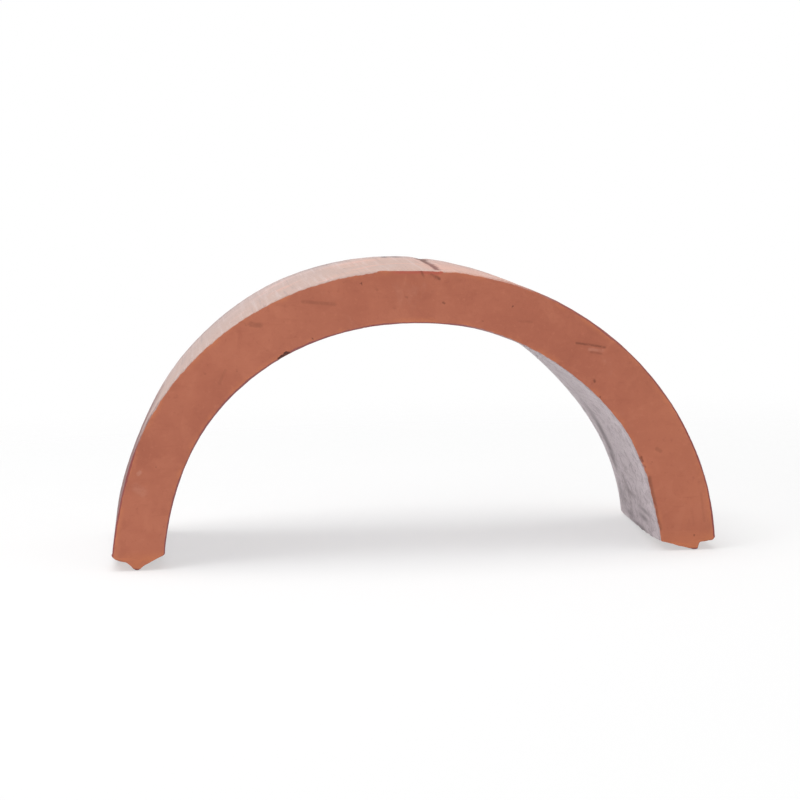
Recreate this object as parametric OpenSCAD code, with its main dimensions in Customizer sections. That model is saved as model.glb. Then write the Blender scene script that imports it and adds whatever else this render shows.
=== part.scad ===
// Terracotta breeze block: a half-round arch of fired clay, extruded through a die and wire-cut
// to length. Blocks like it are stacked crown to foot to make an open screen wall.
// Millimetres. +X across the arch, +Y through it from the front cut face to the back, +Z up.
// The origin is midway between the feet, on the surface they stand on and halfway through.

/* [Arch] */
// Radius of the outer curve
outer_r = 100; // [80:0.5:120]
// Thickness of the wall, square to the curve
wall = 17.5; // [13:0.5:24]
// Length of the block between its two cut faces
depth = 100; // [50:1:160]

/* [Feet] */
// How far above the arc's centre the feet are cut off
foot_trim = 4; // [2:0.5:20]
// Radius of the die-rounded corner on the outside of each foot
foot_outer_round = 3.5; // [1:0.25:5]
// Radius of the die-rounded corner on the inside of each foot
foot_inner_round = 2; // [1:0.25:6]

/* [Cut edges] */
// Width of the worn arris round the curves on both cut faces
curve_arris = 0.8; // [0.3:0.1:2]
// Width of the worn arris across the feet on both cut faces
foot_arris = 0.8; // [0.3:0.1:2]

/* [Finish] */
// Colour of the fired clay
clay_colour = "#ac6955";

/* [Hidden] */
$fn = 180;

inner_r = outer_r - wall;

// Every cutter runs this far past the clay that it cuts.
spill = wall / 4;

// Each foot rounding stands this far proud of the two surfaces that it joins, so that it crosses
// them cleanly.
proud = 0.02;

// The section is drawn with the arc's centre at [0, 0] and the foot line at y = foot_trim.
// This is the half ring above the foot line, while its corners are still square.
module square_footed_section() {
    intersection() {
        difference() {
            circle(r = outer_r);
            circle(r = inner_r);
        }
        translate([-outer_r - spill, foot_trim])
            square([2 * (outer_r + spill), outer_r + spill]);
    }
}

// The clay that the die leaves off one corner of the right foot: a wedge from the middle of the
// rounding out past the corner, less the rounding itself.
// out is 1 for the corner on the outer curve and -1 for the one on the inner curve.
module corner_waste(curve_r, round_r, out) {
    reach = curve_r - out * (round_r - proud);
    rise = foot_trim + round_r - proud;
    middle = [sqrt(reach * reach - rise * rise), rise];
    // The rounding meets the curve on the line from the arc's centre through its middle.
    toward_curve = out * middle / reach;
    past = round_r + spill;
    difference() {
        polygon([
            middle,
            middle + toward_curve * past,
            middle + [out * past, -past],
            middle + [0, -past]
        ]);
        translate(middle) circle(r = round_r);
    }
}

// The section that the die gives the clay.
module section() {
    difference() {
        square_footed_section();
        for (side = [0, 1]) mirror([side, 0]) {
            corner_waste(outer_r, foot_outer_round, 1);
            corner_waste(inner_r, foot_inner_round, -1);
        }
    }
}

// What wear takes off the edge between the cut face at z = 0 and a curve of the wall: a ring
// with one face on a cone.
// out is 1 for the outer curve and -1 for the inner one.
module curve_arris_waste(curve_r, out) {
    rotate_extrude()
        polygon([
            [curve_r - out * (curve_arris + spill), -spill],
            [curve_r + out * spill, curve_arris + spill],
            [curve_r + out * spill, -spill]
        ]);
}

// What wear takes off the edge between the cut face at z = 0 and the bottoms of both feet.
module foot_arris_waste() {
    translate([-outer_r - spill, foot_trim, 0])
        rotate([0, 90, 0])
            linear_extrude(height = 2 * (outer_r + spill))
                polygon([
                    [-foot_arris - spill, -spill],
                    [spill, foot_arris + spill],
                    [spill, -spill]
                ]);
}

// Everything worn off round one cut face.
module face_waste() {
    curve_arris_waste(outer_r, 1);
    curve_arris_waste(inner_r, -1);
    foot_arris_waste();
}

// The block lying on one cut face, with the other at z = depth.
module lying_block() {
    difference() {
        linear_extrude(height = depth) section();
        face_waste();
        translate([0, 0, depth]) mirror([0, 0, 1]) face_waste();
    }
}

module arch_block() {
    color(clay_colour)
        translate([0, depth / 2, -foot_trim])
            rotate([90, 0, 0])
                lying_block();
}

arch_block();
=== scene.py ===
import math

import bpy
import numpy as np
from mathutils import Matrix, Vector, noise


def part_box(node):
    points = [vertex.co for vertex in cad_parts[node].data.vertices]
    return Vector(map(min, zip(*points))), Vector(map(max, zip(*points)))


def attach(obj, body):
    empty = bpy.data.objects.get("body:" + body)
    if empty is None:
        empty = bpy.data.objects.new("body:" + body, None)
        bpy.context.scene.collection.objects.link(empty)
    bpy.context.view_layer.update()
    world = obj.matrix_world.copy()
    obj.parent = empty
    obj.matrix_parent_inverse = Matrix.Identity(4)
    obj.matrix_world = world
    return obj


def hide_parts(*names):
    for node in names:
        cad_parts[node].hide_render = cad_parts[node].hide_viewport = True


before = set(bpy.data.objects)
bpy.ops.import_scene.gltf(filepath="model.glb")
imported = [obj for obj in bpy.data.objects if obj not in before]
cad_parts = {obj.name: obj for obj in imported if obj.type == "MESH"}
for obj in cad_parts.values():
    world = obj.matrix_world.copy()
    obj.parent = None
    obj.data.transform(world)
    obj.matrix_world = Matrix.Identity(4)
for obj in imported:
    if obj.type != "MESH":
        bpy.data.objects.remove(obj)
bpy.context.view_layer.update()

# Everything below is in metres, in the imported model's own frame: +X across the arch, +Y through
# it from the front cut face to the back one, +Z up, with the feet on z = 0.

MM = 0.001

# ---------------------------------------------------------------------------------------------
# The block's section, from the frame's box and the sizes that the box can't give
# ---------------------------------------------------------------------------------------------

NODE = "arch_block"
block_low, block_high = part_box(NODE)

OUTER_R = 100 * MM
WALL = 17.5 * MM
FOOT_OUTER_ROUND = 3.5 * MM
FOOT_INNER_ROUND = 2 * MM

INNER_R = OUTER_R - WALL
HEIGHT = block_high[2] - block_low[2]
FOOT_TRIM = OUTER_R - HEIGHT
FRONT_Y, BACK_Y = block_low[1], block_high[1]
DEPTH = BACK_Y - FRONT_Y
ARC_CENTRE = np.array([0.0, block_low[2] - FOOT_TRIM])

# Mesh density: segments along the arch, across the wall, round an arris and through the depth.
ALONG_ARCH = 512
ACROSS_WALL = 32
ROUND_ARRIS = 4
THROUGH_DEPTH = 50
# How much closer the rows lie near the edges of a cut face, and near the ends of the depth, from
# 0, even, to 1. How far along the arch a cut face's grid follows the shape of its foot.
EDGE_CROWDING = 0.5
END_CROWDING = 0.75
FOOT_BLEND = 14 * MM

# How far one octave of noise lies from the next, and what brings their sum to about 1 either way.
OCTAVE_GAP = 17.3
NOISE_GAIN = 1.6

rng = np.random.default_rng(1907)


def fractal(points, size, octaves, shift):
    """Noise between about -1 and 1 at each point, whose largest lumps are about size across."""
    out = np.zeros(len(points))
    weight, total, step = 1.0, 0.0, size
    for octave in range(octaves):
        move = shift + OCTAVE_GAP * octave
        scaled = points / step + [move, -move, 0.0]
        out += weight * np.array([noise.noise(Vector(p)) for p in scaled])
        total += weight
        weight *= 0.5
        step *= 0.5
    return out / total * NOISE_GAIN


def smooth(x, low, high):
    """0 below low, 1 above high and an S-curve between them."""
    t = np.clip((x - low) / (high - low), 0.0, 1.0)
    return t * t * (3 - 2 * t)


def columns(*values):
    """Plain numbers and arrays side by side, as one array of points."""
    return np.stack(np.broadcast_arrays(*values), axis=-1)


# ---------------------------------------------------------------------------------------------
# The outline of the section
# ---------------------------------------------------------------------------------------------


def arc(centre, radius, start, end, facing=1):
    """A run of outline on a circle. facing is -1 where the clay lies outside the circle."""

    def at(t):
        angle = start + (end - start) * t
        ray = columns(np.cos(angle), np.sin(angle))
        return np.asarray(centre) + radius * ray, facing * ray

    return abs(end - start) * radius, at


def line(start, end, normal):
    """A straight run of outline."""

    def at(t):
        return np.outer(1 - t, start) + np.outer(t, end), np.tile(normal, (len(t), 1))

    return math.dist(start, end), at


def even_shares(count):
    """count + 1 shares from 0 to 1 at equal steps."""
    return np.linspace(0, 1, count + 1)


def shares_across():
    """The rows of a cut face from the outer curve to the inner one, closest near the two edges."""
    t = even_shares(ACROSS_WALL)
    return t - EDGE_CROWDING * np.sin(2 * math.pi * t) / (2 * math.pi)


def sample(runs, shares):
    """Points and outward normals at shares of the whole length of the runs."""
    lengths = np.array([length for length, _ in runs])
    ends = np.cumsum(lengths)
    where = ends[-1] * shares
    which = np.minimum(np.searchsorted(ends, where - 1e-12), len(runs) - 1)
    points, normals = np.zeros((len(shares), 2)), np.zeros((len(shares), 2))
    for i, (length, at) in enumerate(runs):
        mine = which == i
        t = (where[mine] - (ends[i] - length)) / length
        points[mine], normals[mine] = at(np.clip(t, 0, 1))
    return points, normals


def section_sides():
    """The four sides of the section: over the arch, under it, and the left and right feet.

    Over and under run from left to right, and the feet from the outer curve to the inner one. The
    sides meet at the middle of each foot rounding.
    """
    outer_reach, inner_reach = OUTER_R - FOOT_OUTER_ROUND, INNER_R + FOOT_INNER_ROUND
    outer_angle = math.asin((FOOT_TRIM + FOOT_OUTER_ROUND) / outer_reach)
    inner_angle = math.asin((FOOT_TRIM + FOOT_INNER_ROUND) / inner_reach)
    outer_middle = np.array([outer_reach * math.cos(outer_angle), FOOT_OUTER_ROUND])
    inner_middle = np.array([inner_reach * math.cos(inner_angle), FOOT_INNER_ROUND])
    mirror = np.array([-1, 1])
    pi, down = math.pi, -math.pi / 2
    outer_corner = (outer_angle + down) / 2
    inner_corner = (down + inner_angle - pi) / 2
    over = [
        arc(outer_middle * mirror, FOOT_OUTER_ROUND, pi - outer_corner, pi - outer_angle),
        arc(ARC_CENTRE, OUTER_R, pi - outer_angle, outer_angle),
        arc(outer_middle, FOOT_OUTER_ROUND, outer_angle, outer_corner),
    ]
    under = [
        arc(inner_middle * mirror, FOOT_INNER_ROUND, pi - inner_corner, 2 * pi - inner_angle),
        arc(ARC_CENTRE, INNER_R, pi - inner_angle, inner_angle, facing=-1),
        arc(inner_middle, FOOT_INNER_ROUND, inner_angle - pi, inner_corner),
    ]
    foot = [
        arc(outer_middle, FOOT_OUTER_ROUND, outer_corner, down),
        line([outer_middle[0], 0], [inner_middle[0], 0], [0, -1]),
        arc(inner_middle, FOOT_INNER_ROUND, down, inner_corner),
    ]
    right_foot = sample(foot, shares_across())
    left_foot = [values * mirror for values in right_foot]
    along = even_shares(ALONG_ARCH)
    return sample(over, along), sample(under, along), left_foot, right_foot


def section_loop():
    """The outline as one closed loop of points and normals, clockwise as seen from the front."""
    over, under, left, right = section_sides()
    return [
        np.concatenate([over[k], right[k][1:], under[k][-2::-1], left[k][-2:0:-1]])
        for k in (0, 1)
    ]


def loop_index(i, j):
    """Where on the loop the edge of a cut face's grid lies. i runs along the arch, j across."""
    if j == 0:
        return i
    if i == ALONG_ARCH:
        return ALONG_ARCH + j
    if j == ACROSS_WALL:
        return 2 * ALONG_ARCH + ACROSS_WALL - i
    return 2 * (ALONG_ARCH + ACROSS_WALL) - j


# ---------------------------------------------------------------------------------------------
# The clean body: rings through the depth, closed by a grid on each cut face
# ---------------------------------------------------------------------------------------------

# How far wear has rounded the edges of the cut faces: the usual width, the least, and the shares by
# which it varies slowly and quickly along an edge.
ARRIS = 0.75 * MM
ARRIS_LEAST = 0.35 * MM
ARRIS_SLOW, ARRIS_QUICK = 0.30, 0.22


def arris_widths(loop, face_y, shift):
    """How far wear has rounded the edge of one cut face, at each point of the loop."""
    at = columns(loop[:, 0], face_y, loop[:, 1])
    slow, quick = fractal(at, 9 * MM, 2, shift), fractal(at, 2.2 * MM, 2, shift + 5)
    return np.maximum(ARRIS * (1 + (ARRIS_SLOW * slow + ARRIS_QUICK * quick)), ARRIS_LEAST)


def rings(loop, normals):
    """Positions, outward normals and each vertex's share of cut face, ring by ring."""
    front, back = arris_widths(loop, FRONT_Y, 1.0), arris_widths(loop, BACK_Y, 8.0)
    across = columns(normals[:, 0], 0.0, normals[:, 1])
    placed, facing, cut = [], [], []

    def ring(inset, y, way, cut_share):
        p = loop - normals * inset[:, None]
        placed.append(columns(p[:, 0], y, p[:, 1]))
        facing.append(way)
        cut.append(np.full(len(loop), cut_share))

    def arris(width, face_y, inward, shares):
        for share in shares:
            turn = share * math.pi / 2
            way = across * math.sin(turn) - np.array([0, inward, 0]) * math.cos(turn)
            y = face_y + inward * width * (1 - math.cos(turn))
            ring(width * (1 - math.sin(turn)), y, way, 1 - share)

    turns = np.arange(ROUND_ARRIS + 1) / ROUND_ARRIS
    arris(front, FRONT_Y, 1, turns)
    first, last = FRONT_Y + front, BACK_Y - back
    for t in np.arange(1, THROUGH_DEPTH) / THROUGH_DEPTH:
        share = (1 - END_CROWDING) * t + END_CROWDING * (1 - math.cos(math.pi * t)) / 2
        ring(np.zeros(len(loop)), first + (last - first) * share, across, 0.0)
    arris(back, BACK_Y, -1, turns[::-1])
    return np.array(placed), np.array(facing), np.array(cut)


def cut_face_grid(edge):
    """The points of a cut face's grid inside its edge, which is a ring of [x, z]."""
    i, j = np.arange(ALONG_ARCH + 1), np.arange(ACROSS_WALL + 1)
    over = edge[[loop_index(a, 0) for a in i]]
    under = edge[[loop_index(a, ACROSS_WALL) for a in i]]
    left = edge[[loop_index(0, b) for b in j]]
    right = edge[[loop_index(ALONG_ARCH, b) for b in j]]
    v = shares_across()[None, :, None]
    grid = over[:, None] * (1 - v) + under[:, None] * v
    # The grid follows the shape of each foot only near that foot.
    step = math.pi * OUTER_R / ALONG_ARCH
    near_left = (np.clip(1 - i * step / FOOT_BLEND, 0, 1) ** 2)[:, None, None]
    grid += near_left * (left[None] - grid[:1]) + near_left[::-1] * (right[None] - grid[-1:])
    return grid[1:-1, 1:-1].reshape(-1, 2)


def cut_face_index(ring_start, inside_start):
    """The vertex number at each place of a cut face's grid."""
    index = np.empty((ALONG_ARCH + 1, ACROSS_WALL + 1), dtype=int)
    inside = (ALONG_ARCH - 1) * (ACROSS_WALL - 1)
    index[1:-1, 1:-1] = inside_start + np.arange(inside).reshape(ALONG_ARCH - 1, -1)
    for i in range(ALONG_ARCH + 1):
        for j in range(ACROSS_WALL + 1):
            if i in (0, ALONG_ARCH) or j in (0, ACROSS_WALL):
                index[i, j] = ring_start + loop_index(i, j)
    return index


def clean_body():
    """Every vertex of the block before wear, its normal, its share of cut face, and the faces."""
    loop, normals = section_loop()
    placed, facing, cut = rings(loop, normals)
    count = len(loop)
    vertices, ways = [placed.reshape(-1, 3)], [facing.reshape(-1, 3)]
    cuts, faces = [cut.ravel()], []

    here = np.arange(count)
    following = np.roll(here, -1)
    for start in range(0, (len(placed) - 1) * count, count):
        ahead = start + count
        faces.append(columns(start + here, start + following, ahead + following, ahead + here))

    total = len(placed) * count
    ends = ((placed[0], FRONT_Y, -1.0, 0), (placed[-1], BACK_Y, 1.0, total - count))
    for ring, y, way, ring_start in ends:
        inside = cut_face_grid(ring[:, [0, 2]])
        vertices.append(columns(inside[:, 0], y, inside[:, 1]))
        ways.append(np.tile([0.0, way, 0.0], (len(inside), 1)))
        cuts.append(np.ones(len(inside)))
        index = cut_face_index(ring_start, total)
        corners = [index[:-1, :-1], index[:-1, 1:], index[1:, 1:], index[1:, :-1]]
        if way > 0:
            corners.reverse()
        faces.append(np.stack(corners, axis=-1).reshape(-1, 4))
        total += len(inside)
    return [np.concatenate(parts) for parts in (vertices, ways, cuts, faces)]


# ---------------------------------------------------------------------------------------------
# Wear, cut marks and damage
# ---------------------------------------------------------------------------------------------

# Nicks in the arrises: degrees round the arch, the curve, the cut face, in millimetres the radius
# of the bowl and how deep it bites, and how much painted shade darkens its hollow, from 0, fresh
# clay, to 1.
NICKS = [
    (119.9, INNER_R, FRONT_Y, 1.4, 1.2, 1.00),
    (118.8, INNER_R, FRONT_Y, 1.5, 1.3, 1.00),
    (24.9, INNER_R, FRONT_Y, 1.6, 1.1, 0.50),
    (22.9, INNER_R, FRONT_Y, 1.5, 0.8, 0.15),
    (17.4, INNER_R, FRONT_Y, 1.3, 0.8, 0.35),
    (20.6, INNER_R, FRONT_Y, 2.2, 0.7, 0.15),
    (13.2, INNER_R, FRONT_Y, 2.4, 0.7, 0.10),
    (9.4, INNER_R, FRONT_Y, 2.2, 0.6, 0.20),
    (45.8, OUTER_R, FRONT_Y, 1.3, 0.6, 0.45),
    (44.4, OUTER_R, FRONT_Y, 1.2, 0.5, 0.40),
    (41.4, OUTER_R, FRONT_Y, 1.2, 0.6, 0.45),
    (90.7, OUTER_R, BACK_Y, 1.2, 0.6, 0.80),
    (88.9, OUTER_R, BACK_Y, 1.3, 0.6, 0.75),
    (88.0, OUTER_R, BACK_Y, 1.3, 0.6, 0.75),
    (141.0, OUTER_R, BACK_Y, 3.4, 1.3, 0.10),
    (33.0, INNER_R, BACK_Y, 2.4, 1.0, 0.20),
]
# The random marks lie between these degrees. There are this many small nicks in each arris, with
# their radius in millimetres and how deep they bite as a share of it.
MARKED_SPAN = (6, 174)
SMALL_NICKS = 18
SMALL_NICK_RADIUS = (0.8, 1.6)
SMALL_NICK_BITE = (0.15, 0.35)

# Scratches in the front cut face: points as degrees and millimetres from the arc's centre, the
# width and depth in millimetres, and how dark they are.
SCRATCHES = [
    ([(53.3, 91.6), (50.9, 93.6), (48.2, 95.9)], 0.55, 0.30, 0.50),
    ([(49.8, 92.0), (47.9, 93.7)], 0.55, 0.12, 0.28),
    ([(110.8, 96.0), (108.4, 94.2), (105.0, 92.1)], 0.85, 0.10, 0.24),
    ([(121.6, 97.0), (121.0, 96.0), (120.2, 95.1)], 1.20, 0.16, 0.30),
    ([(134.0, 88.5), (131.2, 90.2)], 0.70, 0.08, 0.16),
    ([(66.0, 89.2), (63.5, 90.5)], 0.60, 0.06, 0.14),
    ([(45.3, 85.8), (45.1, 85.6)], 0.60, 0.30, 0.70),
    ([(82.6, 89.7), (82.3, 89.5)], 0.55, 0.25, 0.55),
    ([(90.4, 91.1), (90.1, 90.9)], 0.50, 0.12, 0.30),
    ([(25.2, 88.9), (24.4, 89.6)], 0.90, 0.12, 0.26),
    ([(13.5, 97.5), (8.0, 96.9)], 0.60, 0.08, 0.12),
    ([(11.0, 93.6), (7.5, 93.5)], 0.55, 0.06, 0.07),
    ([(87.3, 99.2), (86.9, 97.7)], 0.55, 0.25, 0.42),
    ([(85.4, 98.4), (84.6, 97.8)], 0.65, 0.12, 0.28),
    ([(84.4, 97.7), (83.8, 97.3)], 0.75, 0.30, 0.60),
    ([(20.0, 83.1), (15.0, 82.9), (8.0, 82.8)], 1.20, 0.0, 0.50),
]
# Pale rubs on the front cut face, in the same way, without a depth.
RUBS = [
    ([(158.2, 96.3), (157.8, 96.0)], 1.0, 0.26),
    ([(161.4, 93.4), (160.9, 95.8)], 2.2, 0.12),
    ([(50.4, 92.4), (48.2, 94.6)], 0.8, 0.18),
]

# Pits: how many there are, every which one is big, and every which one is in a skin rather than a
# cut face. Their radii are in millimetres and their bites are shares of the radius. On a cut face
# they keep this clear of its edges.
PITS = 40
BIG_PIT_EVERY = 16
SKIN_PIT_EVERY = 4
PIT_RADIUS = (0.45, 0.9)
BIG_PIT_RADIUS = (1.0, 1.4)
PIT_BITE = (0.3, 0.6)
PIT_CLEAR = 1.5 * MM
# How dark the painted shade in a pit is.
PIT_SHADE = 0.30

# A stone dragged through the die has scored the crown: degrees, and share of the depth. It is as
# wide and as deep as this, and the skin blushed this far beside it.
CROWN_SCORE = [(83.7, 0.09), (83.4, 0.26), (83.1, 0.50), (83.25, 0.74), (83.2, 0.99)]
SCORE_WIDTH = 1.85 * MM
SCORE_DEPTH = 0.45 * MM
SCORE_BLUSH = 4.0 * MM

# Where the cut faces fired lighter, above 0, or darker, below: degrees round the arch, how many
# degrees each cloud reaches, and how strong it is.
CLOUDS = [
    (115, 12, 0.60),
    (90, 9, -0.32),
    (153, 13, -0.52),
    (40, 6, -0.22),
]

# Smears of soot and slip on the skins: degrees, the curve, and in millimetres how far behind the
# middle each lies and how far it reaches along the arch and through it, and how dark it is.
SMEARS = [
    (32.0, INNER_R, 24, 6.0, 5.0, 0.50),
    (27.0, INNER_R, 28, 6.0, 5.5, 0.80),
    (22.5, INNER_R, 31, 5.0, 5.5, 0.90),
    (18.5, INNER_R, 35, 4.5, 5.0, 0.80),
    (11.5, INNER_R, 8, 0.9, 11.0, 0.55),
    (9.6, INNER_R, -20, 0.9, 15.0, 0.65),
    (7.4, INNER_R, -14, 1.1, 12.0, 0.70),
    (5.4, INNER_R, 22, 1.0, 12.0, 0.60),
    (4.0, INNER_R, 0, 1.2, 18.0, 0.75),
    (9.0, INNER_R, 40, 5.0, 5.0, 0.50),
    (128.0, OUTER_R, 44, 11.0, 3.5, 0.50),
    (104.0, OUTER_R, 46, 7.0, 2.5, 0.45),
    (90.7, OUTER_R, 45, 1.0, 8.0, 1.00),
    (88.5, OUTER_R, 45, 1.8, 8.0, 1.00),
    (62.0, OUTER_R, 30, 9.0, 6.0, 0.40),
    (31.0, OUTER_R, 12, 14.0, 8.0, 0.45),
    (152.0, OUTER_R, 8, 12.0, 10.0, 0.40),
    (150.0, INNER_R, 4, 14.0, 9.0, 0.55),
    (100.0, INNER_R, 34, 16.0, 5.0, 0.50),
]


def on_arch(angle, radius, y):
    """A point from its angle round the arch in degrees, its radius and its depth."""
    a = math.radians(angle)
    return np.array([radius * math.cos(a), y, ARC_CENTRE[1] + radius * math.sin(a)])


class Block:
    """The block's vertices on their way from the clean body to the worn one.

    It also holds the marks that the material reads at each vertex. hollow, the painted shade in
    nicks and pits, broken, blush and smeared run from 0 to 1. fired is above 0 where the clay
    fired lighter and below it where it fired darker. over_flat is how far the vertex stood beyond
    the crown's flat.
    """

    def __init__(self, vertices, ways, cuts):
        self.clean = vertices.copy()
        self.at = vertices
        self.ways = ways
        self.cuts = cuts
        self.x, self.y, self.z = self.clean.T
        rise = self.z - ARC_CENTRE[1]
        self.radius = np.hypot(self.x, rise)
        self.turn = np.arctan2(rise, self.x)
        self.around = self.turn * self.radius
        self.skin = 1 - smooth(cuts, 0.0, 0.6)
        self.to_back = (self.y - FRONT_Y) / DEPTH
        self.hollow, self.broken, self.over_flat = np.zeros((3, len(cuts)))
        self.blush, self.smeared, self.fired = np.zeros((3, len(cuts)))

    def press(self, depth):
        """Moves every vertex inward by its depth."""
        self.at -= self.ways * np.clip(depth, 0, None)[:, None]

    def scoop(self, centre, radius, shift):
        """Presses a lumpy bowl into the clay round centre. Returns how deep each vertex went.

        shift picks the bowl's lumps, by which its radius varies up to about 0.3 of itself.
        """
        away = self.at - centre
        far = np.linalg.norm(away, axis=1)
        deep = np.zeros(len(far))
        near = np.flatnonzero(far < 1.5 * radius)
        ray = away[near] / np.maximum(far[near], 1e-9)[:, None]
        size = radius * (1 + 0.3 * fractal(ray, 0.8, 2, shift))
        deep[near] = np.clip(size - far[near], 0, None)
        self.at[near] += ray * deep[near, None]
        return deep

    def distance(self, points):
        """How far each vertex lies from the line through points."""
        nearest = np.full(len(self.x), np.inf)
        for a, b in zip(points[:-1], points[1:]):
            along = b - a
            t = np.clip((self.clean - a) @ along / (along @ along), 0, 1)
            gap = np.linalg.norm(self.clean - (a + t[:, None] * along), axis=1)
            nearest = np.minimum(nearest, gap)
        return nearest

    def groove(self, points, width, depth):
        """Presses a groove through points."""
        self.press(depth * np.exp(-((self.distance(points) / width) ** 2)))

    def shave(self, point, normal, where, rough, shift):
        """Takes off what stands beyond a plane. Returns how far beyond it each vertex stood."""
        normal = np.asarray(normal) / np.linalg.norm(normal)
        over = (self.at - point) @ normal + rough * fractal(self.clean, 2.5 * MM, 2, shift)
        self.at -= (np.clip(over, 0, None) * where)[:, None] * normal
        return over


# How far lines are drawn out: along the die, and along the wire, which leaned this much.
DIE_STRETCH = 0.06
WIRE_STRETCH = 0.10
WIRE_LEAN = math.radians(24)


def waves(points, height, size, octaves, shift):
    """Depths in millimetres, height on average, in waves about size millimetres across."""
    return height + height * fractal(points, size * MM, octaves, shift)


def ripple(b):
    """The skins and the cut faces are never quite flat."""
    along_wire = (b.x * math.cos(WIRE_LEAN) - b.z * math.sin(WIRE_LEAN)) * WIRE_STRETCH
    across_wire = b.z * math.cos(WIRE_LEAN) + b.x * math.sin(WIRE_LEAN)
    lumps = waves(b.clean, 0.05, 45, 2, 3.0)
    die_lines = waves(columns(b.around, b.y * DIE_STRETCH, b.radius), 0.05, 2.4, 2, 21.0)
    swell = waves(columns(b.around, b.y, b.radius), 0.05, 14, 2, 33.0)
    wire_lines = waves(columns(along_wire, b.y, across_wire), 0.035, 1.9, 2, 40.0)
    torn = waves(b.clean, 0.05, 3.4, 3, 52.0)
    b.press((lumps + b.skin * (die_lines + swell) + (1 - b.skin) * (wire_lines + torn)) * MM)


def nick_arrises(b):
    """Knocks bits out of the arrises: the ones in NICKS and many small ones at random."""
    nicks = list(NICKS)
    for curve in (OUTER_R, INNER_R):
        for face in (FRONT_Y, BACK_Y):
            for angle in rng.uniform(*MARKED_SPAN, SMALL_NICKS):
                size = rng.uniform(*SMALL_NICK_RADIUS)
                bite = size * rng.uniform(*SMALL_NICK_BITE)
                nicks.append((angle, curve, face, size, bite, 0.0))
    for number, (angle, curve, face, size, bite, dark) in enumerate(nicks):
        off = (size - bite) * MM / math.sqrt(2)
        out = off if curve == OUTER_R else -off
        centre = on_arch(angle, curve + out, face + math.copysign(off, face))
        deep = b.scoop(centre, size * MM, number * 1.7) / MM
        b.broken = np.maximum(b.broken, smooth(deep, 0.05, 0.5))
        # The hollow of the nick is darkened with painted shade.
        b.hollow = np.maximum(b.hollow, dark * smooth(deep, 0.1, 0.5))


def pit_surfaces(b):
    """Leaves pits where a bubble burst or a grain came out."""
    for number in range(PITS):
        size = rng.uniform(*(PIT_RADIUS if number % BIG_PIT_EVERY else BIG_PIT_RADIUS))
        bite = size * rng.uniform(*PIT_BITE)
        off = (size - bite) * MM
        angle = rng.uniform(*MARKED_SPAN)
        if number % SKIN_PIT_EVERY:
            face = FRONT_Y if number % SKIN_PIT_EVERY == 1 else BACK_Y
            radius = rng.uniform(INNER_R + PIT_CLEAR, OUTER_R - PIT_CLEAR)
            centre = on_arch(angle, radius, face + math.copysign(off, face))
        else:
            curve = OUTER_R + off if number % (2 * SKIN_PIT_EVERY) else INNER_R - off
            centre = on_arch(angle, curve, rng.uniform(FRONT_Y, BACK_Y))
        deep = b.scoop(centre, size * MM, 200 + number * 1.3) / MM
        # The pit is darkened with painted shade.
        b.hollow = np.maximum(b.hollow, smooth(deep, 0.1, 0.5) * PIT_SHADE)


def on_front(route):
    """Points in the front cut face, from degrees and millimetres from the arc's centre."""
    return [on_arch(angle, radius * MM, FRONT_Y) for angle, radius in route]


def score_points():
    """Points along the score over the crown."""
    return [on_arch(angle, OUTER_R, FRONT_Y + share * DEPTH) for angle, share in CROWN_SCORE]


def scratch(b):
    """Scratches the front cut face and scores the crown."""
    for route, width, depth, _ in SCRATCHES:
        b.groove(on_front(route), width * MM, depth * MM)
    b.groove(score_points(), SCORE_WIDTH, SCORE_DEPTH)
    b.blush = np.exp(-((b.distance(score_points()) / SCORE_BLUSH) ** 2))


def smear(b):
    """Darkens the skins where soot or slip was wiped along them."""
    for angle, curve, y, reach_round, reach_through, dark in SMEARS:
        round_arch = (b.turn - math.radians(angle)) * curve / (reach_round * MM)
        through = (b.y - y * MM) / (reach_through * MM)
        on_curve = np.abs(b.radius - curve) < WALL / 4
        mark = dark * np.exp(-(round_arch**2) - through**2) * on_curve * b.skin
        b.smeared = np.maximum(b.smeared, mark)


def fire_clouds(b):
    """How much lighter or darker each vertex fired."""
    for angle, reach, strength in CLOUDS:
        b.fired += strength * np.exp(-(((np.degrees(b.turn) - angle) / reach) ** 2))


# The front arris was pressed flat at the crown while the clay was soft: where the flat starts and
# ends, how far about each end it fades in or out, how deep it cuts into the face at each end, how
# far back it reaches at its middle, how rough it is, and how far off its plane is still told to the
# material.
FLAT_ENDS = (-9.6 * MM, 12.0 * MM)
FLAT_FADE_IN = (-0.6 * MM, 0.2 * MM)
FLAT_FADE_OUT = (-1.2 * MM, 1.0 * MM)
FLAT_DEPTHS = (0.08 * MM, 0.32 * MM)
FLAT_BACK = 3.0 * MM
FLAT_ROUGH = 0.05 * MM
FLAT_REACH = 2 * MM


def flatten_crown_arris(b):
    """Takes the flat off the crown's front arris."""
    tops = [ARC_CENTRE[1] + math.sqrt(OUTER_R**2 - x**2) for x in FLAT_ENDS]
    left, right = (top - depth for top, depth in zip(tops, FLAT_DEPTHS))
    slope = (right - left) / (FLAT_ENDS[1] - FLAT_ENDS[0])
    rise = (block_high[2] - (left + right) / 2) / FLAT_BACK
    starts = smooth(b.x, *(FLAT_ENDS[0] + fade for fade in FLAT_FADE_IN))
    stops = 1 - smooth(b.x, *(FLAT_ENDS[1] + fade for fade in FLAT_FADE_OUT))
    where = starts * stops * (b.z > 0.9 * HEIGHT)
    over = b.shave([FLAT_ENDS[0], FRONT_Y, left], [-slope, -rise, 1.0], where, FLAT_ROUGH, 61.0)
    b.over_flat = where * (np.clip(over, -FLAT_REACH, FLAT_REACH) + FLAT_REACH) - FLAT_REACH


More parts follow.
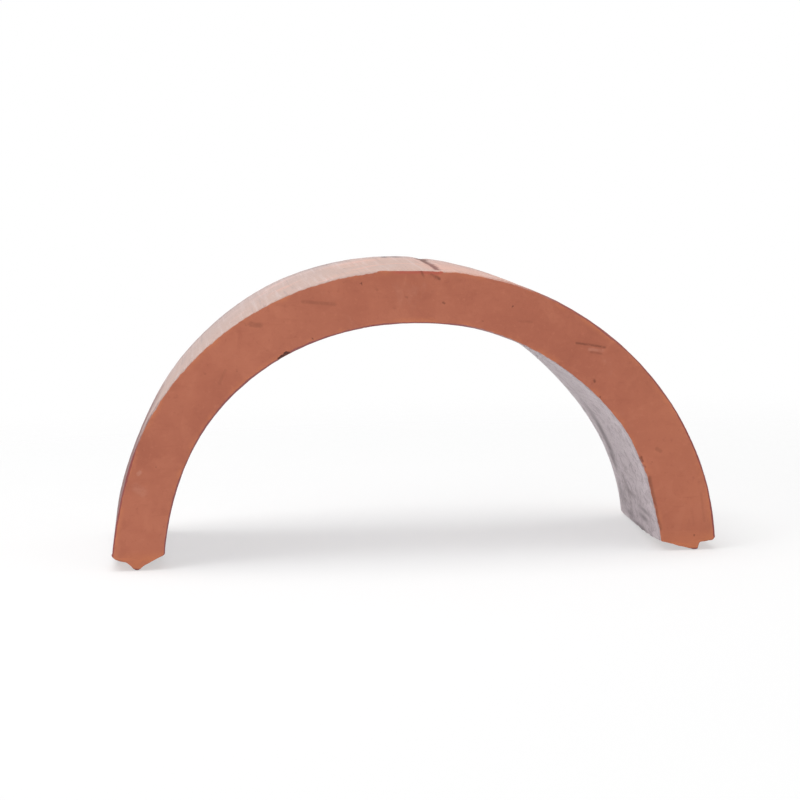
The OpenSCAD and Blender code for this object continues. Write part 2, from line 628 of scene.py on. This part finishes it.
# Both feet broke away from the clay beside them and stand on a nub at the front. Each foot has
# its side, and in millimetres how far through the block the break runs, and the break's outline as
# distances from the middle and heights off the floor.
FEET = [
    (-1, 45, [(80, 6.2), (82.9, 4.7), (85.2, 3.5), (87.2, 2.5), (89.6, 1.2), (90.6, 0.2),
              (91.2, 0), (91.9, 0), (93.6, 2.1), (94.8, 3.0), (96.9, 3.5), (98.4, 4.0),
              (99.3, 4.7), (100, 5.6)]),
    (1, 75, [(80, 3.9), (83, 3.2), (93.0, 0.1), (93.3, 0), (93.8, 0), (94.4, 2.9),
             (98.6, 3.3), (100, 4.6)]),
]
# How rough the breaks are, and by what share how far they run varies.
BREAK_ROUGH = 0.22 * MM
BREAK_VARIES = 0.15


def break_feet(b):
    """Lifts the broken parts of each foot's underside clear of the floor."""
    for side, reach, outline in FEET:
        away, height = np.array(outline).T * MM
        broken = np.interp(b.x * side, away, height)
        ragged = BREAK_ROUGH * fractal(b.clean, 3.5 * MM, 3, 70.0 + side)
        uneven = BREAK_VARIES * fractal(b.clean, 12 * MM, 2, 76.0 + side)
        fade = np.clip(1 - uneven - (b.y - FRONT_Y) / (reach * MM), 0, 1)
        floor = (broken + ragged * smooth(broken, 0.0, 0.8 * MM)) * fade
        lift = np.clip(floor - b.at[:, 2], 0, None) * (b.x * side > 0.5 * INNER_R)
        b.at[:, 2] += lift
        b.broken = np.maximum(b.broken, smooth(lift, 0.1 * MM, 0.7 * MM))


# Drying pulled the haunches out and drew the crown and the legs in at the front cut face, and a
# little the other way at the back one.
SQUARING_FRONT = 0.60 * MM
SQUARING_BACK = -0.20 * MM
# It also left bulges and hollows: the degrees round the arch, how many degrees each reaches, the
# cut face where it is strongest, and how far it moves the outer and the inner curve outward in
# millimetres.
BULGES = [
    (14, 12, FRONT_Y, 0.55, -1.00),
    (28, 15, FRONT_Y, 0.30, 0.0),
    (21, 3, FRONT_Y, 0.0, 0.35),
    (31, 4, FRONT_Y, 0.0, 0.25),
    (50, 14, FRONT_Y, -0.20, -0.60),
    (75, 6, FRONT_Y, 0.0, 0.30),
    (80, 36, FRONT_Y, 0.0, -0.50),
    (83.7, 2.2, FRONT_Y, -0.40, 0.0),
    (112, 15, FRONT_Y, 0.25, 0.0),
    (142, 9, FRONT_Y, 0.35, 0.15),
    (166, 10, FRONT_Y, -0.75, -0.25),
    (40, 18, BACK_Y, 0.0, -1.20),
    (76, 9, BACK_Y, -0.30, 0.0),
    (116, 15, BACK_Y, 0.65, 0.0),
    (157, 12, BACK_Y, -1.15, 0.0),
]


def warp(b):
    """Bends the section slightly out of round."""
    across = (b.radius - INNER_R) / WALL
    amount = SQUARING_FRONT + (SQUARING_BACK - SQUARING_FRONT) * b.to_back
    # At 4 lobes round the whole circle, the half ring is in at the legs and the crown.
    shift = -amount * np.cos(4 * b.turn)
    for angle, reach, face, outer, inner in BULGES:
        near = np.exp(-(((np.degrees(b.turn) - angle) / reach) ** 2))
        through = b.to_back if face == BACK_Y else 1 - b.to_back
        shift += near * through * (inner + (outer - inner) * across) * MM
    b.at[:, 0] += shift * np.cos(b.turn)
    # Toward the feet the shift up or down fades out, so they stay on the floor.
    b.at[:, 2] += shift * np.sin(b.turn) * smooth(b.z, 0.0, 0.2 * HEIGHT)


def worn_body():
    """The block's worn vertices, its faces, and the marks that its material reads."""
    vertices, ways, cuts, faces = clean_body()
    b = Block(vertices, ways, cuts)
    ripple(b)
    nick_arrises(b)
    pit_surfaces(b)
    scratch(b)
    smear(b)
    fire_clouds(b)
    flatten_crown_arris(b)
    break_feet(b)
    warp(b)
    b.at[:] = np.clip(b.at, block_low, block_high)
    edge = np.minimum(np.minimum(OUTER_R - b.radius, b.radius - INNER_R), b.z)
    # cut is 1 on a cut face and 0 on a skin, and skin_run is the distances along a skin, behind
    # the front cut face and through the wall.
    marks = {
        "cut": b.cuts,
        "hollow": np.clip(b.hollow, 0, 1),
        "broken": np.clip(b.broken, 0, 1),
        "over_flat": b.over_flat / MM,
        "blush": b.blush,
        "smeared": b.smeared,
        "fired": b.fired,
        "rim": 1 - smooth(edge, 0.3 * MM, 2.6 * MM),
        "outside": smooth(b.radius, INNER_R + 0.4 * WALL, INNER_R + 0.6 * WALL),
        "skin_run": columns(b.around, b.y - FRONT_Y, b.radius - INNER_R),
        "as_made": b.clean,
    }
    return b.at, faces, marks


def build_block():
    """The block as one mesh object, with its marks stored for the material."""
    vertices, faces, marks = worn_body()
    mesh = bpy.data.meshes.new("fired_arch")
    mesh.from_pydata(vertices.tolist(), [], faces.tolist())
    mesh.polygons.foreach_set("use_smooth", [True] * len(mesh.polygons))
    for name, values in marks.items():
        if values.ndim == 1:
            mesh.attributes.new(name, "FLOAT", "POINT").data.foreach_set("value", values)
        else:
            layer = mesh.attributes.new(name, "FLOAT_VECTOR", "POINT")
            layer.data.foreach_set("vector", values.reshape(-1))
    mesh.update()
    block = bpy.data.objects.new("fired_arch", mesh)
    bpy.context.scene.collection.objects.link(block)
    return block


# ---------------------------------------------------------------------------------------------
# Material
# ---------------------------------------------------------------------------------------------


class Shader:
    """A short way to write a node tree."""

    def __init__(self, owner):
        owner.use_nodes = True
        self.tree = owner.node_tree
        self.tree.nodes.clear()

    def node(self, kind, inputs=None, **settings):
        """A node with these settings. inputs has its sockets' names or numbers and their values.

        A value is the output socket of another node, which is linked in, or plain numbers.
        """
        made = self.tree.nodes.new(kind)
        for name, value in settings.items():
            setattr(made, name, value)
        for name, value in (inputs or {}).items():
            if isinstance(value, bpy.types.NodeSocket):
                self.tree.links.new(value, made.inputs[name])
            else:
                made.inputs[name].default_value = value
        return made

    def attribute(self, name, output="Fac"):
        return self.node("ShaderNodeAttribute", attribute_name=name).outputs[output]

    def math(self, operation, a, b):
        return self.node("ShaderNodeMath", {0: a, 1: b}, operation=operation).outputs[0]

    def vector_math(self, operation, a, b):
        return self.node("ShaderNodeVectorMath", {0: a, 1: b}, operation=operation).outputs

    def plus(self, first, *others):
        for other in others:
            first = self.math("ADD", first, other)
        return first

    def times(self, first, *others):
        for other in others:
            first = self.math("MULTIPLY", first, other)
        return first

    def scaled(self, vector, scale):
        return self.vector_math("MULTIPLY", vector, scale)["Vector"]

    def split(self, vector):
        """The X, Y and Z of a vector."""
        return self.node("ShaderNodeSeparateXYZ", {0: vector}).outputs

    def gap(self, place, start, end):
        """How far place lies from the straight line between two points."""
        start, end = Vector(start), Vector(end)
        along = (end - start) / (end - start).length_squared
        dot = self.vector_math("DOT_PRODUCT", place, along)["Value"]
        share = self.math("SUBTRACT", dot, start.dot(along))
        blend = {"data_type": "VECTOR", "clamp_factor": True}
        nearest = self.node("ShaderNodeMix", {0: share, 4: start, 5: end}, **blend).outputs[1]
        return self.vector_math("DISTANCE", place, nearest)["Value"]

    def stroke(self, place, points, width, strength, thinner=1.0):
        """strength along the middle of the line through points, fading to 0 at width from it.

        Where thinner is above 1 the line is narrower than width, and where it is below 1, wider.
        """
        gap = self.gap(place, *points[:2])
        for start, end in zip(points[1:-1], points[2:]):
            gap = self.math("MINIMUM", gap, self.gap(place, start, end))
        return self.remap(self.times(gap, thinner), 0.25 * width, width, strength, 0.0)

    def noise(self, vector, scale, detail, roughness=0.55, distortion=0.0):
        shape = {"Scale": scale, "Detail": detail, "Roughness": roughness, "Distortion": distortion}
        return self.node("ShaderNodeTexNoise", {"Vector": vector, **shape}).outputs["Fac"]

    def remap(self, value, low, high, to_low=0.0, to_high=1.0):
        """An S-curve from to_low, where value is low, to to_high, where it is high."""
        ends = {"From Min": low, "From Max": high, "To Min": to_low, "To Max": to_high}
        made = self.node("ShaderNodeMapRange", {"Value": value, **ends}, clamp=True,
                         interpolation_type="SMOOTHSTEP")
        return made.outputs["Result"]

    def mix(self, share, a, b):
        """Colour a turning into colour b as share goes from 0 to 1."""
        a, b = (c if isinstance(c, bpy.types.NodeSocket) else (*c, 1.0) for c in (a, b))
        blend = {"data_type": "RGBA", "clamp_factor": True}
        return self.node("ShaderNodeMix", {0: share, 6: a, 7: b}, **blend).outputs[2]

    def tint(self, colour, *tints):
        """Lays tints over colour in turn.

        A tint is a pattern, the level at which it starts to show, the level at which it shows
        most, how much it shows there, and its colour.
        """
        for pattern, start, full, strength, over in tints:
            colour = self.mix(self.remap(pattern, start, full, 0.0, strength), colour, over)
        return colour


# Linear colours of the cut clay
CUT = (0.418, 0.132, 0.078)
CUT_DARK = (0.340, 0.103, 0.062)
CUT_LIGHT = (0.490, 0.171, 0.101)
CUT_FRESH = (0.545, 0.184, 0.085)
BROKEN = (0.470, 0.150, 0.075)
# The painted shade in the hollows of nicks and pits.
HOLLOW_SHADE = (0.075, 0.024, 0.018)
DUST = (0.600, 0.330, 0.250)
SCRATCHED = (0.125, 0.042, 0.026)
UNDER_FLAT = (0.420, 0.100, 0.070)

# Linear colours of the flashed skins
BEIGE = (0.540, 0.352, 0.288)
BEIGE_PINK = (0.665, 0.375, 0.300)
BEIGE_GREY = (0.450, 0.330, 0.295)
MAUVE = (0.440, 0.345, 0.335)
# Inside the arch: a paler grey-mauve, raised further as painted light standing in for the light on
# the inside of the arch.
MAUVE_INSIDE_PAINTED_LIGHT = (0.724, 0.640, 0.672)
MAUVE_DARK = (0.255, 0.200, 0.210)
MAUVE_PALE = (0.700, 0.630, 0.640)
# The painted shade low down the outer sides.
LOW_SIDE_SHADE = (0.170, 0.060, 0.055)
SMEAR = (0.120, 0.085, 0.095)
SOOT = (0.060, 0.040, 0.044)
SCORED = (0.160, 0.042, 0.030)
SCORED_DARK = (0.120, 0.038, 0.024)
# The darkened arrises: partly fired dark and partly painted shade.
ARRIS_FIRED_AND_SHADED = (0.255, 0.056, 0.050)

# In what follows, places and distances are in metres like the mesh, and the scale of a noise is
# about how many of its lumps fit in a metre. over_flat is in millimetres.


def cut_clay(s, place, grit):
    """Terracotta as the wire left it: soft patches, drag marks, dust and small pits."""
    cloud = s.noise(place, 34, 3, 0.5, 0.5)
    blotch = s.noise(place, 120, 4, 0.6, 0.6)
    drag = s.noise(s.scaled(place, (60, 60, 420)), 1.0, 3, 0.6, 0.8)
    speckle = s.noise(place, 170, 4, 0.6)
    drift = s.noise(place, 48, 6, 0.62, 0.8)
    x, _, z = s.split(s.attribute("as_made", "Vector"))
    # The clay is a little paler toward the feet, and most so down the right leg.
    paler = s.plus(s.remap(z, 92 * MM, 10 * MM, 0.0, 0.30), s.remap(x, 50 * MM, 90 * MM, 0.0, 0.30))
    clay = s.mix(paler, s.mix(0.20, CUT, CUT_DARK), CUT_LIGHT)
    clay = s.tint(clay, (x, 60 * MM, 90 * MM, 0.18, CUT_FRESH))
    fired = s.attribute("fired")
    clay = s.mix(fired, clay, CUT_LIGHT)
    clay = s.mix(s.times(fired, -1.0), clay, CUT_DARK)
    clay = s.tint(
        clay,
        (cloud, 0.34, 0.68, 0.40, CUT_DARK),
        (cloud, 0.50, 0.30, 0.30, CUT_LIGHT),
        (blotch, 0.50, 0.72, 0.35, CUT_LIGHT),
        (blotch, 0.46, 0.28, 0.35, CUT_DARK),
        (drag, 0.55, 0.75, 0.30, CUT_DARK),
        (grit, 0.54, 0.74, 0.40, CUT_LIGHT),
        (grit, 0.44, 0.28, 0.45, CUT_DARK),
    )
    rim = s.times(s.attribute("rim"), s.remap(speckle, 0.40, 0.66, 0.0, 0.55))
    clay = s.mix(rim, clay, CUT_FRESH)
    clay = s.mix(s.times(s.remap(drift, 0.60, 0.80, 0.0, 0.30), grit), clay, DUST)
    low = s.times(s.remap(z, 7.5 * MM, 2.5 * MM), s.remap(drag, 0.35, 0.60, 0.25, 0.70))
    clay = s.mix(low, clay, CUT_FRESH)
    # The clay squeezed from the crown's flat is redder.
    under_flat = s.remap(s.attribute("over_flat"), -1.3, -0.5, 0.0, 0.85)
    return s.mix(s.times(under_flat, s.remap(x, -7 * MM, -2 * MM)), clay, UNDER_FLAT)


def marked_clay(s, clay, grit):
    """The pale rubs and the dark scratches in the front cut face, broken up by the grit."""
    as_made = s.attribute("as_made", "Vector")
    broken_up = s.remap(grit, 0.36, 0.52, 0.45, 1.0)
    marks = [(*rub, DUST) for rub in RUBS]
    marks += [(route, width, dark, SCRATCHED) for route, width, _, dark in SCRATCHES]
    for route, width, strength, colour in marks:
        mark = s.stroke(as_made, on_front(route), width * MM, strength)
        clay = s.mix(s.times(mark, broken_up), clay, colour)
    return clay


class SkinPatterns:
    """Where each spot of the skins lies, and the noise that breaks up their colours.

    behind is how far behind the front cut face the spot lies.
    """

    def __init__(self, s, place):
        self.place = place
        self.x, _, self.z = s.split(place)
        run = s.attribute("skin_run", "Vector")
        self.behind = s.split(run)["Y"]
        self.outside = s.attribute("outside")
        self.inside = s.math("SUBTRACT", 1.0, self.outside)
        self.along_die = s.noise(s.scaled(run, (800, 12, 200)), 1.0, 3, 0.6)
        self.round_arch = s.noise(s.scaled(run, (14, 380, 200)), 1.0, 4, 0.6, 0.3)
        self.patch = s.noise(place, 55, 5, 0.62, 0.5)
        self.cloud = s.noise(place, 21, 3, 0.5, 0.6)
        self.wander = s.times(s.math("SUBTRACT", self.cloud, 0.5), 1.1)
        self.mottle = s.noise(s.scaled(place, (270, 95, 270)), 1.0, 3, 0.6, 0.8)
        self.grain = s.noise(place, 1300, 3, 0.6)


def mauve_skin(s, p):
    """Grey-mauve, more mottled inside the arch, and paler there: partly the skin's own colour and
    partly painted light.
    """
    crumb = s.noise(p.place, 900, 3, 0.65, 0.4)
    # The inside is paler, partly in its own colour and partly as painted light.
    mauve = s.tint(
        s.mix(p.outside, MAUVE_INSIDE_PAINTED_LIGHT, MAUVE),
        (p.patch, 0.48, 0.72, 0.60, MAUVE_PALE),
        (p.patch, 0.46, 0.26, 0.65, MAUVE_DARK),
    )
    fewer_inside = s.remap(p.inside, 0.0, 1.0, 1.0, 0.3)
    streaks = s.times(s.remap(p.round_arch, 0.52, 0.70, 0.0, 0.45), fewer_inside)
    mauve = s.mix(streaks, mauve, MAUVE_DARK)
    for full, strength, colour in ((0.62, 0.60, MAUVE_PALE), (0.36, 0.40, MAUVE_DARK)):
        mottled = s.times(s.remap(p.mottle, 0.50, full, 0.0, strength), p.inside)
        mauve = s.mix(mottled, mauve, colour)
    return s.tint(
        mauve,
        (crumb, 0.50, 0.68, 0.75, MAUVE_PALE),
        (crumb, 0.48, 0.32, 0.60, MAUVE_DARK),
    )


def beige_skin(s, p):
    """Beige, greyer to the left and pinker beside the score and past it."""
    beige = s.tint(
        BEIGE,
        (p.cloud, 0.40, 0.62, 0.6, BEIGE_GREY),
        (p.patch, 0.48, 0.70, 0.8, BEIGE_PINK),
        (p.round_arch, 0.56, 0.72, 0.3, MAUVE),
        (p.x, -30 * MM, -65 * MM, 0.75, BEIGE_GREY),
    )
    past_score = s.remap(p.x, 8 * MM, 14 * MM, 0.0, 0.6)
    blush = s.math("MAXIMUM", past_score, s.times(s.attribute("blush"), 0.85))
    return s.mix(blush, beige, BEIGE_PINK)


def flame_reach(s, p):
    """Where the flame turned the skin mauve, from 0 to 1.

    It reached the inside, the low sides and the back more than the front of the crown.
    """
    low = s.remap(s.plus(p.z, s.times(p.wander, 60 * MM)), 55 * MM, 20 * MM)
    far_back = s.plus(p.behind, s.times(p.wander, 90 * MM))
    flame = s.math("MAXIMUM", low, s.remap(far_back, 45 * MM, 105 * MM, 0.0, 0.55))
    band = s.remap(s.plus(p.behind, s.times(p.wander, 20 * MM)), 20 * MM, 8 * MM, 1.0, 0.25)
    return s.math("MAXIMUM", s.times(flame, band), p.inside)


def flashed_skin(s, p):
    """The skin from the die: beige over the crown, grey-mauve inside and down the sides."""
    skin = s.mix(flame_reach(s, p), beige_skin(s, p), mauve_skin(s, p))
    # Low down the outer sides the skin is painted darker: painted shade where the sides turn away
    # from the light.
    ragged = s.times(s.math("SUBTRACT", p.patch, 0.5), 50 * MM)
    up = s.plus(p.z, s.times(p.wander, 30 * MM), ragged)
    low_side_shade = s.times(s.remap(up, 61 * MM, 34 * MM, 0.0, 0.92), p.outside)
    skin = s.mix(low_side_shade, skin, LOW_SIDE_SHADE)

    # The grain and the die's lines show pale and dark, and less pale where the low sides are
    # painted in shade.
    clear = s.remap(low_side_shade, 0.0, 0.92, 1.0, 0.4)
    for pattern, pale_at, pale, dark_at in (
        (p.along_die, (0.50, 0.72), 0.24, (0.44, 0.26)),
        (p.grain, (0.52, 0.74), 0.34, (0.46, 0.26)),
    ):
        skin = s.mix(s.times(s.remap(pattern, *pale_at, 0.0, pale), clear), skin, MAUVE_PALE)
        skin = s.tint(skin, (pattern, *dark_at, 0.35, MAUVE_DARK))
    at_front = s.times(s.remap(p.behind, 7 * MM, 1 * MM, 0.0, 0.35), p.inside)
    return s.mix(at_front, skin, MAUVE_DARK)


def marked_skin(s, skin, p):
    """The smears, the specks of soot and the score over the crown."""
    wiped = s.times(s.attribute("smeared"), s.remap(p.mottle, 0.36, 0.54, 0.60, 1.0))
    skin = s.mix(wiped, skin, SMEAR)
    speck = s.node("ShaderNodeTexVoronoi", {"Vector": p.place, "Scale": 150}, feature="F1")
    few = s.remap(s.noise(p.place, 70, 2), 0.53, 0.60)
    specks = s.times(s.remap(speck.outputs["Distance"], 0.14, 0.06, 0.0, 0.8), few)
    skin = s.mix(specks, skin, SOOT)

    # The score widens and darkens toward the back, and its edges are uneven.
    uneven = s.remap(s.noise(p.place, 230, 4, 0.65, 0.5), 0.34, 0.66, 0.62, 1.40)
    thinner = s.times(uneven, s.remap(p.behind, 60 * MM, 95 * MM, 1.0, 0.62))
    scored = s.stroke(s.attribute("as_made", "Vector"), score_points(), SCORE_WIDTH, 0.95, thinner)
    scored = s.times(scored, s.remap(p.grain, 0.36, 0.50, 0.85, 1.0))
    return s.mix(scored, skin, s.mix(s.remap(p.behind, 50 * MM, 80 * MM), SCORED, SCORED_DARK))


def arrises(s, p):
    """How much of each spot is cut clay rather than skin, and how much is darkened arris, partly
    fired dark and partly painted shade.
    """
    cut, over_flat = s.attribute("cut"), s.attribute("over_flat")
    # Every arris but those outside the crown and the left haunch and inside the right leg is
    # darkened, partly as fired by the flame and partly as painted shade where the arris faces away
    # from the light.
    right = s.remap(p.x, 20 * MM, 55 * MM)
    low = s.remap(p.z, 50 * MM, 35 * MM)
    dark_outside = s.times(s.math("MAXIMUM", right, low), p.outside)
    dark_inside = s.times(s.remap(p.x, 50 * MM, 10 * MM, 0.10, 1.0), p.inside)
    darkened = s.plus(dark_outside, dark_inside)

    # The skin wraps over most of each arris, and wears through unevenly. It left the arris inside
    # the right leg bare, and the clay was squeezed up over it at the flat.
    on_arris = s.remap(cut, 1.0, 0.9)
    ragged = s.times(s.math("SUBTRACT", s.noise(p.place, 430, 4, 0.62), 0.5), 0.8)
    bare = s.times(s.remap(p.x, 10 * MM, 50 * MM, 0.0, 0.35), p.inside)
    squeezed = s.remap(over_flat, -1.3, -0.7, 0.0, 0.40)
    cut_edge = s.plus(cut, s.times(s.plus(ragged, bare, squeezed), on_arris))
    wrapped = s.math("SUBTRACT", cut_edge, s.times(darkened, on_arris, 0.20))
    is_cut = s.times(s.remap(wrapped, 0.66, 0.90), s.remap(over_flat, 0.04, -0.04))
    dark = s.times(s.remap(cut_edge, 0.02, 0.25), s.remap(cut, 0.0, 0.06), darkened, 0.92)
    return is_cut, dark


def fired_clay():
    """Unglazed terracotta: orange-red where the wire cut it, flashed grey-mauve on its skins."""
    material = bpy.data.materials.new("fired_clay")
    s = Shader(material)
    place = s.node("ShaderNodeTexCoord").outputs["Object"]
    grit = s.noise(place, 560, 4, 0.62)
    p = SkinPatterns(s, place)
    is_cut, arris_fired_and_shaded = arrises(s, p)
    # The darkened arrises, partly fired dark and partly painted shade.
    colour = s.mix(arris_fired_and_shaded, marked_skin(s, flashed_skin(s, p), p), ARRIS_FIRED_AND_SHADED)
    colour = s.mix(is_cut, colour, marked_clay(s, cut_clay(s, place, grit), grit))
    torn = s.mix(s.remap(grit, 0.4, 0.6), CUT, BROKEN)
    colour = s.mix(s.times(s.attribute("broken"), 0.85), colour, torn)
    # Tiny pits and the hollows of nicks and pits are darkened with painted shade; the tiny pits
    # also sink the bump.
    pits = s.remap(s.noise(place, 430, 2, 0.5), 0.26, 0.19, 0.0, 0.6)
    hollow = s.math("MAXIMUM", s.times(s.attribute("hollow"), 0.92), pits)
    colour = s.mix(hollow, colour, HOLLOW_SHADE)

    die_lines = s.times(p.along_die, s.remap(s.attribute("cut"), 0.3, 0.0, 0.0, 0.8))
    height = s.plus(grit, s.times(p.grain, 0.35), die_lines, s.times(pits, -1.2))
    relief = {"Strength": 0.55, "Distance": 0.14 * MM, "Height": height}
    shader = s.node("ShaderNodeBsdfPrincipled", {
        "Base Color": colour,
        "Roughness": s.plus(s.remap(is_cut, 0.0, 1.0, 0.60, 0.86), s.times(grit, 0.12)),
        "Normal": s.node("ShaderNodeBump", relief).outputs["Normal"],
        "Specular IOR Level": 0.35,
    })
    s.node("ShaderNodeOutputMaterial", {"Surface": shader.outputs["BSDF"]})
    return material


# ---------------------------------------------------------------------------------------------
# Stage: floor, light and camera
# ---------------------------------------------------------------------------------------------

# The floor's width, its own white, how much plain white is laid over it where it is seen, and how
# far from the block it starts and ends fading out. The strength of the fill light.
FLOOR_SIZE = 6.0
FLOOR_WHITE = 0.90
FLOOR_GLOW = 0.52
FLOOR_FADE = (0.22, 0.60)
WORLD_LEVEL = 0.50


def seen_rays(s):
    """1 for the rays that show the surroundings themselves, and 0 for those that light things."""
    path = s.node("ShaderNodeLightPath")
    camera, glossy = path.outputs["Is Camera Ray"], path.outputs["Is Glossy Ray"]
    seen = s.math("MAXIMUM", camera, glossy)
    return s.math("MAXIMUM", seen, path.outputs["Is Transmission Ray"])


def white_floor():
    """White card that keeps the shadow, lightened, and fades into the white background."""
    material = bpy.data.materials.new("white_floor")
    s = Shader(material)
    seen = seen_rays(s)
    matt = s.node("ShaderNodeBsdfDiffuse", {"Color": (*(FLOOR_WHITE,) * 3, 1.0)}).outputs[0]
    glow = s.node("ShaderNodeEmission").outputs[0]
    clear = s.node("ShaderNodeBsdfTransparent").outputs[0]
    card = s.node("ShaderNodeMixShader", {0: s.times(seen, FLOOR_GLOW), 1: matt, 2: glow})
    here = s.node("ShaderNodeNewGeometry").outputs["Position"]
    from_middle = s.vector_math("LENGTH", here, (0, 0, 0))["Value"]
    fade = s.times(s.remap(from_middle, *FLOOR_FADE), seen)
    both = s.node("ShaderNodeMixShader", {0: fade, 1: card.outputs[0], 2: clear})
    s.node("ShaderNodeOutputMaterial", {"Surface": both.outputs[0]})
    return material


def make_floor():
    mesh = bpy.data.meshes.new("floor")
    half = FLOOR_SIZE / 2
    corners = [(-half, -half, 0), (half, -half, 0), (half, half, 0), (-half, half, 0)]
    mesh.from_pydata(corners, [], [(0, 1, 2, 3)])
    mesh.materials.append(white_floor())
    floor = bpy.data.objects.new("floor", mesh)
    bpy.context.scene.collection.objects.link(floor)


def make_world():
    """A white surround: plain white where it is seen, and soft fill light otherwise."""
    world = bpy.data.worlds.new("studio")
    bpy.context.scene.world = world
    s = Shader(world)
    strength = s.remap(seen_rays(s), 0.0, 1.0, WORLD_LEVEL, 1.0)
    plain = s.node("ShaderNodeBackground", {"Color": (1, 1, 1, 1), "Strength": strength})
    s.node("ShaderNodeOutputWorld", {"Surface": plain.outputs[0]})


def aim(thing, target):
    """Turns a lamp or a camera to look at target."""
    way = Vector(target) - thing.location
    thing.rotation_euler = way.to_track_quat("-Z", "Y").to_euler()


def softbox(name, place, size, watts):
    """A square area lamp that faces the middle of the block."""
    lamp = bpy.data.lights.new(name, "AREA")
    lamp.shape, lamp.size, lamp.energy = "SQUARE", size, watts
    box = bpy.data.objects.new(name, lamp)
    bpy.context.scene.collection.objects.link(box)
    box.location = place
    aim(box, (0, 0, HEIGHT / 2))


def make_lights():
    softbox("overhead", (-0.30, -0.05, 1.30), 1.3, 13.0)
    softbox("left_fill", (-2.05, -1.75, 0.60), 1.6, 18.5)
    softbox("right_fill", (1.50, -2.40, 0.60), 1.6, 10.5)


# Where the camera stands, seen from the middle of the block, and how far it leans.
CAMERA_AZIMUTH = math.radians(-4.0)
CAMERA_ELEVATION = math.radians(4.9)
CAMERA_LEAN = math.radians(-1.6)
CAMERA_DISTANCE = 1.0
AIM_HEIGHT = 48.5 * MM
LENS = 131.4


def make_camera():
    data = bpy.data.cameras.new("camera")
    data.sensor_width = 36.0
    data.lens = LENS
    data.clip_start, data.clip_end = 0.01, 100.0
    camera = bpy.data.objects.new("camera", data)
    bpy.context.scene.collection.objects.link(camera)
    middle = Vector((0, 0, AIM_HEIGHT))
    back = Vector((
        math.sin(CAMERA_AZIMUTH) * math.cos(CAMERA_ELEVATION),
        -math.cos(CAMERA_AZIMUTH) * math.cos(CAMERA_ELEVATION),
        math.sin(CAMERA_ELEVATION),
    ))
    camera.location = middle + back * CAMERA_DISTANCE
    aim(camera, middle)
    level = camera.rotation_euler.to_matrix()
    camera.rotation_euler = (level @ Matrix.Rotation(CAMERA_LEAN, 3, "Z")).to_euler()
    bpy.context.scene.camera = camera


# ---------------------------------------------------------------------------------------------
# The scene
# ---------------------------------------------------------------------------------------------

make_camera()
make_world()
make_lights()
make_floor()

block = build_block()
block.data.materials.append(fired_clay())
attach(block, "root")
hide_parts(NODE)

bpy.context.scene.view_settings.view_transform = "Standard"
